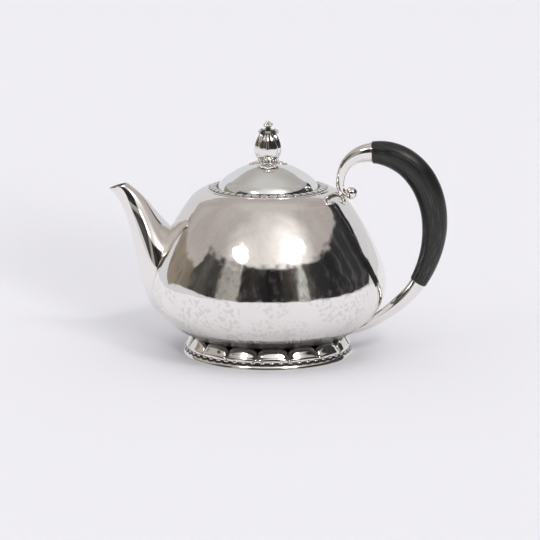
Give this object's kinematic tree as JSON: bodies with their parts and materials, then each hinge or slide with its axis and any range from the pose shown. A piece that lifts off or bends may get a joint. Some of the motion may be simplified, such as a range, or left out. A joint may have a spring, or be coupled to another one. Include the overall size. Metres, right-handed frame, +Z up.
{
  "type": "silver teapot",
  "caption": "Round-bellied silver teapot with a tapering spout, a looped dark wood grip between silver arms, a petalled foot and a lift-off domed lid with a bud finial.",
  "frame": {"origin": "centre of the foot's ring, on the plane it stands on", "axes": "+Z up along the pot's axis, the spout points to -X and the handle to +X"},
  "size_m": [0.2376, 0.1668, 0.165],
  "materials": {
    "silver": "polished, lightly hammered silver",
    "ebony": "satin ebony"
  },
  "bodies": {
    "pot": {"body_shell": "silver", "neck_ring": "silver", "rim_wire": "silver", "spout": "silver", "foot_ring": "silver", "foot_beads": "silver", "petal_collar": "silver", "upper_arm": "silver", "scroll_ball": "silver", "lower_arm": "silver", "grip": "ebony", "upper_pin": "silver", "lower_pin": "silver"},
    "lid": {"lid_dome": "silver", "lid_bezel": "silver", "lid_border": "silver", "finial_calyx": "silver", "finial_collar": "silver", "finial_bud": "silver", "finial_tips": "silver", "finial_stamen": "silver", "finial_stud": "silver", "finial_washer": "silver", "finial_nut": "silver"}
  },
  "joints": [
    {"name": "lid_lift", "type": "slide", "parent": "pot", "child": "lid", "axis": [0, 0, 1], "range_m": [0, 0.06]}
  ]
}
